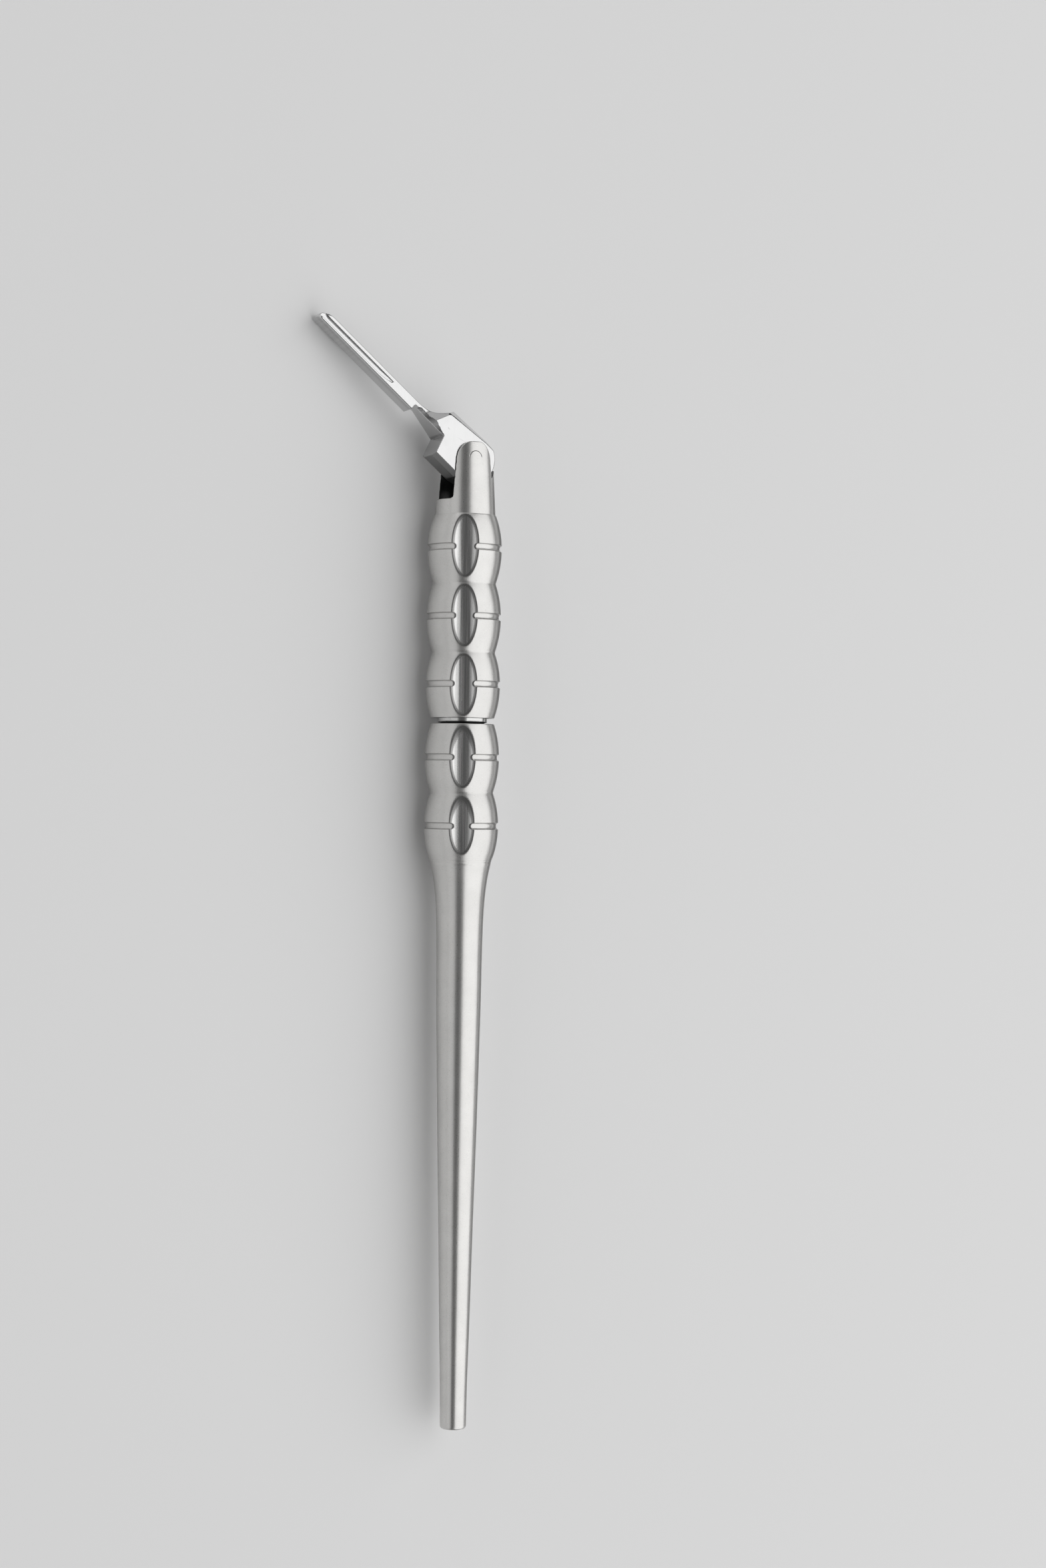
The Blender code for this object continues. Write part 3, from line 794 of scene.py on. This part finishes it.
rod = piece("lock_rod_turned", np.array(verts), faces, [mat_rod], None,
            "rod", "lock_rod")

# --------------------------------------------------------------- hinge pin --
radii = [0.0, 0.25, 0.5, 0.7, 0.80, 0.835, 0.85, 0.85]
drop = [0.0, 0.0, 0.0, 0.0, 0.0, 0.004, 0.02, 0.30]
verts, faces = [], []
steps = 64
psi = np.arange(steps) * math.tau / steps


def pin_end(y, z):
    return np.sqrt(fork_cone(PIVOT_Z + z) ** 2 - y * y)


# ground flush with the ears: the seam has closed on the lower half
closed = np.clip((0.25 - np.sin(psi)) / 0.5, 0, 1)
closed = closed * closed * (3 - 2 * closed)
rows = [(1, r, d) for r, d in zip(radii, drop)] + [(-1, r, d) for r, d in
                                                   zip(radii[::-1], drop[::-1])]
start = []
for side, r, d in rows:
    start.append(len(verts))
    if r == 0:
        verts.append((side * (float(pin_end(0, 0)) + 0.001), 0.0, PIVOT_Z))
    else:
        # spread over the hole's rim there, and no wider than the hole inside
        wide = r * (1 + 0.13 * closed) if d < 0.1 else r
        y, z = wide * np.cos(psi), wide * np.sin(psi)
        x = side * (pin_end(y, z) - np.where(d < 0.1, d * (1 - closed), d)
                    + 0.004 * closed - 0.001)
        verts += list(zip(x, y, PIVOT_Z + z))
for i in range(len(rows) - 1):
    a0, b0 = start[i], start[i + 1]
    for k in range(steps):
        k2 = (k + 1) % steps
        if rows[i][1] == 0:
            faces.append((a0, b0 + k, b0 + k2))
        elif rows[i + 1][1] == 0:
            faces.append((a0 + k, b0, a0 + k2))
        else:
            faces.append((a0 + k, b0 + k, b0 + k2, a0 + k2))
pin = piece("hinge_pin_ground", np.array(verts), faces, [mat_pin], None,
            "grip", "hinge_pin")
pin.data.set_sharp_from_angle(angle=math.radians(40))

# ------------------------------------------------------------- blade mount --
HEAD_HALF = 2.69
TONGUE_HALF, TONGUE_LOW, TONGUE_HIGH = 1.65, -1.00, 0.50
NECK_A = [5.6, 6.0, 6.4, 6.9, 7.3, 8.0, 8.5, 9.0, 9.6, 10.25, 10.9, 12.0]
NECK_B = [3.85, 3.25, 2.74, 2.20, 1.80, 1.20, 0.93, 0.75, 0.62, 0.54, 0.50, 0.47]
neck_a = np.linspace(5.6, 12.0, 200)
neck_b = pchip(NECK_A, NECK_B, neck_a)


def neck_floor(a):
    return -0.18 - 0.107 * (10.5 - a)


def mount_field(a, b, h):
    ah = np.abs(h)
    bev = np.clip((ah - 1.5) / 1.2, 0.0, 1.3)
    # block and hub under one top plane
    t = np.clip(a, 0.0, 6.5) / 6.5
    top = 3.52 - 0.34 * t - bev * (0.56 + 0.38 * t)
    low = -3.60 + 0.35 * bev
    disk = np.sqrt(a * a + b * b) - (3.60 - bev * (0.20 + 0.15 * np.clip(-b / 3.4, 0, 1)))
    step = (a - (5.16 + (b + 0.92) * 0.262)) * 0.967
    block = smax(low - b, step, 0.10)
    block = np.maximum(block, -a)
    block = smin(block, disk, 0.05)
    block = smax(block, (b - top) * 0.92, 0.12)
    edge = 0.09 + 0.24 * np.clip((b - 0.3) / 1.2, 0, 1)
    block = smax(block, ah - HEAD_HALF, edge)
    # neck, between the block and the tongue
    floor = neck_floor(a)
    reach = a + 0.46 * (b - 0.13)
    x = np.minimum(smax((reach - 7.48) / 2.15, 0.0 * reach, 0.15), 1.0)
    width = 1.64 + (HEAD_HALF - 1.64) * (1.0 - x) ** 1.7
    slope = np.interp(a, [5.2, 6.5, 7.5, 8.7, 9.5, 10.1, 10.5],
                      [0.32, 0.5, 0.71, 0.97, 1.20, 0.75, 0.1])
    half = 0.97 + 0.281 * (10.5 - a)
    wave = 0.045 * np.sin(a * 5.1 + 0.6) * np.sin(a * 2.3) + 0.022 * np.sin(a * 11.0 + h * 7.0)
    wave = wave * np.clip((ah - half) * 4.0, 0, 1)
    flank = (floor + slope * (ah - half) + wave - b) * 0.8
    crest = np.interp(a, neck_a, neck_b)
    neck = smax((b - crest) * 0.8, (b - top) * 0.92, 0.10)
    near = np.clip((7.6 - a) / 1.0, 0, 1)
    neck = smax(neck, (ah - width) * (0.85 + 0.15 * near), 0.10 + (edge - 0.10) * near)
    neck = smax(neck, (ah - width + b - crest + 0.13) * 0.65, 0.03)
    neck = smax(neck, floor - b, 0.03)
    neck = smax(neck, flank, 0.05)
    neck = np.maximum(np.maximum(neck, 4.6 - a), a - 11.3)
    # tongue and the blade's slot in each side of it
    tongue = smax(b - TONGUE_HIGH, TONGUE_LOW - b, 0.05)
    soft = 0.05 + 0.20 * np.clip((-0.3 - b) / 0.3, 0, 1)
    u = np.clip((a - 28.60) / 0.60, 0.0, 1.0)
    nose = np.where(a > 28.6, 1.05 + 0.60 * np.sqrt(1.0 - u * u), TONGUE_HALF)
    tongue = smax(tongue, (ah - nose) * np.where(a > 28.6, 0.8, 1.0), soft)
    chamfer = (ah - TONGUE_HALF + b - TONGUE_HIGH + 0.13) * 0.707
    tongue = smax(tongue, chamfer, 0.03)
    tip_high = (a - 28.10) * 0.52 + (b - 0.50) * 0.85
    tongue = smax(smax(tongue, tip_high, 0.5), a - 29.19, 0.14)
    # its underside ends in the notch; its upper part runs on into the neck
    tongue = smax(tongue, np.minimum(10.93 - a, 0.27 - b), 0.04)
    tongue = np.maximum(tongue, 9.7 - a)
    depth = np.interp(a, [14.9, 15.2, 15.5, 16.0, 17.0, 18.0, 22.0, 26.0, 30.0],
                      [-0.10, -0.03, 0.06, 0.16, 0.28, 0.36, 0.42, 0.45, 0.46])
    lip = -0.05 - 0.60 * np.sqrt(np.clip((a - 15.15) / 2.3, 0, 1))
    roof = -0.05 + 0.30 * np.clip((a - 27.7) / 1.4, 0, 1) ** 1.5
    slot = smax(smax(b - roof, lip - b, 0.04), (TONGUE_HALF - depth) - ah, 0.06)
    tongue = smax(tongue, -slot, 0.05)
    # the block and the neck share their side faces, with no seam there
    blended = 0.0004 + 0.04 * np.clip((HEAD_HALF - 0.12 - ah) / 0.1, 0, 1)
    body = smin(smin(block, neck, blended), tongue, 0.03)
    hole = np.sqrt(a * a + b * b) - (PIN_R + 0.08)
    return smax(body, -hole, 0.05)


# head and neck in one net, and the slim tongue in a finer one drawn out along it
JOIN, DRAWN = 12.9, 3.0
head_p, head_q, head_n = surface_net(mount_field, (-3.75, -3.75, -2.8), (JOIN, 3.7, 2.8), 0.082)
slim_p, slim_q, slim_n = surface_net(lambda a, b, h: mount_field(a * DRAWN, b, h),
                                     (JOIN / DRAWN, -1.15, -1.80), (29.45 / DRAWN, 0.68, 1.80),
                                     0.050)
slim_p = slim_p * (DRAWN, 1, 1)
slim_n = slim_n / (DRAWN, 1, 1)
slim_n /= np.linalg.norm(slim_n, axis=1)[:, None]
p = np.concatenate([head_p, slim_p])
away = np.concatenate([head_n, slim_n])
quads = np.concatenate([head_q, slim_q + len(head_p)])
ends = open_loops(quads, lambda v: abs(p[v, 0] - JOIN) < 0.4)
assert len(ends) == 2
turn_of = [np.arctan2(p[e, 2], p[e, 1] + 0.25) for e in ends]
joining = zipper(ends[0], ends[1], *turn_of)
verts = mount_to_handle(p[:, 0], p[:, 1], p[:, 2])
normals = mount_to_handle(away[:, 0], away[:, 1], away[:, 2]) - mount_to_handle(
    *np.zeros((3, 1)))


def ease(v, lo, hi):
    t = np.clip((v - lo) / (hi - lo), 0, 1)
    return t * t * (3 - 2 * t)


# the neck's milled flanks were left unpolished and carry painted shade too; the block's low sides
# carry painted shade
flank = (ease(p[:, 0], 5.25, 5.35) * ease(p[:, 0], 10.40, 10.25) * ease(p[:, 1], 0.36, 0.26)
         * ease(p[:, 1] - neck_floor(p[:, 0]), 0.02, 0.08)
         * ease(np.abs(away[:, 2]), 0.10, 0.20) * ease(away[:, 1], -0.34, -0.46))
flank *= 0.74 + 0.20 * np.sin(p[:, 0] * 2.9 + p[:, 2] * 1.3)
# painted shade: the block's sides that face -b are darkened
below = ease(away[:, 1], -0.20, -0.55) * ease(p[:, 0], 5.75, 5.55)
below *= ease(p[:, 1], -0.2, -1.0) * 0.66
# the tongue's underside: a darker band near its front edge, brushed crosswise
under = ease(away[:, 1], -0.5, -0.9) * ease(p[:, 0], 10.9, 11.1)
brush = 0.5 + 0.5 * np.sin(p[:, 0] * 9.0 + 2.0 * np.sin(p[:, 0] * 3.1))
under *= 0.26 * np.exp(-((p[:, 2] - 0.95) / 0.55) ** 2) \
    + 0.11 * brush * ease(p[:, 0], 17.0, 24.0)


def smudge(a, b, half_a, half_b, turn_by, strength):
    """A soft mark on the block's front face."""
    da, db = p[:, 0] - a, p[:, 1] - b
    cs, sn = math.cos(turn_by), math.sin(turn_by)
    q = ((da * cs + db * sn) / half_a) ** 2 + ((db * cs - da * sn) / half_b) ** 2
    return np.where(p[:, 2] > 2.3, strength * np.exp(-q), 0.0)


marks_and_shade = smudge(5.35, 0.53, 0.16, 0.07, 0.3, 0.30) + smudge(2.9, 0.68, 0.50, 0.035, -0.28, 0.22) \
    + smudge(4.3, -1.3, 0.5, 0.3, 0.7, 0.03) + smudge(6.3, 1.1, 0.4, 0.5, 0.0, 0.03)
# painted shade: a dark line at the step where the tongue's underside ends
cut = np.exp(-((p[:, 0] - 10.98) / 0.06) ** 2) * (p[:, 1] < -0.25) * (np.abs(p[:, 2]) > 1.3)
# smudges and milled flanks, painted shade on the low sides and at the step, and the underside's
# darker band, all in one value
marks_and_shade = np.clip(np.maximum(marks_and_shade + 0.85 * cut, np.maximum(flank, below)) + under, 0, 1)
mount = piece("blade_mount_head", verts, quads.tolist() + joining, [mat_polished], None,
              "mount", "blade_mount", {"marks_and_shade": marks_and_shade}, normals)

# ------------------------------------------------------------------- stage --
mesh = bpy.data.meshes.new("floor")
bm = bmesh.new()
bmesh.ops.create_grid(bm, x_segments=1, y_segments=1, size=4.0)
bm.to_mesh(mesh)
bm.free()
floor = bpy.data.objects.new("floor", mesh)
bpy.context.scene.collection.objects.link(floor)
m, nt, b = nodes_of("floor_paper")
b.inputs["Base Color"].default_value = (0.80, 0.80, 0.80, 1)
b.inputs["Roughness"].default_value = 0.85
b.inputs["Specular IOR Level"].default_value = 0.15
mesh.materials.append(m)

# a dark card laid along the handle's right side, seen only in reflections:
# it gives the dark line inside the right outline
mesh = bpy.data.meshes.new("dark_card")
mesh.from_pydata([(0.023, -0.085, 0.0003), (0.052, -0.085, 0.0003),
                  (0.052, 0.060, 0.0003), (0.023, 0.060, 0.0003)], [], [(0, 1, 2, 3)])
card = bpy.data.objects.new("dark_card", mesh)
bpy.context.scene.collection.objects.link(card)
m, nt, b = nodes_of("card_grey")
b.inputs["Base Color"].default_value = (0.12, 0.12, 0.12, 1)
b.inputs["Roughness"].default_value = 0.9
mesh.materials.append(m)
card.visible_camera = False
card.visible_shadow = False
card.visible_diffuse = False

world = bpy.data.worlds.new("studio")
world.use_nodes = True
bg = world.node_tree.nodes["Background"]
bg.inputs["Color"].default_value = (1, 1, 1, 1)
bg.inputs["Strength"].default_value = 0.085
bpy.context.scene.world = world


def softbox(name, angle, distance, width, length, radiance, y=0.0, yaw=0.0):
    """Flat light over the handle.  angle is measured from +X up and over to -X."""
    data = bpy.data.lights.new(name, "AREA")
    data.shape = "RECTANGLE"
    data.size, data.size_y = width, length
    data.energy = radiance * math.pi * width * length
    obj = bpy.data.objects.new(name, data)
    t = math.radians(angle)
    obj.location = (distance * math.cos(t), y, distance * math.sin(t) + 0.005)
    aim = Vector((0, 0, 0.005)) - Vector(obj.location)
    q = aim.to_track_quat("-Z", "Y")
    obj.rotation_mode = "QUATERNION"
    obj.rotation_quaternion = q
    # turn it about its own axis so that its long side runs along Y
    side = q @ Vector((0, 1, 0))
    zc = q @ Vector((0, 0, 1))
    want = Vector((0, 1, 0)) - zc * zc.y
    turn_by = math.atan2(zc.dot(side.cross(want)), side.dot(want))
    obj.rotation_quaternion = q @ Matrix.Rotation(turn_by + yaw, 3, "Z").to_quaternion()
    obj.visible_camera = False
    bpy.context.scene.collection.objects.link(obj)
    return obj


def span(lo, hi, distance):
    return (lo + hi) / 2, 2 * distance * math.tan(math.radians((hi - lo) / 2))


angle, width = span(12.5, 102.5, 0.9)
softbox("key", angle, 0.9, width, 2.6, 1.24, y=-0.15)
angle, width = span(141.5, 179.0, 0.9)
softbox("fill", angle, 0.9, width, 2.6, 0.62)
softbox("end", 125.0, 0.61, 1.2, 1.0, 0.45, y=1.25)

bpy.context.scene.view_settings.view_transform = "Standard"
bpy.context.scene.view_settings.look = "None"
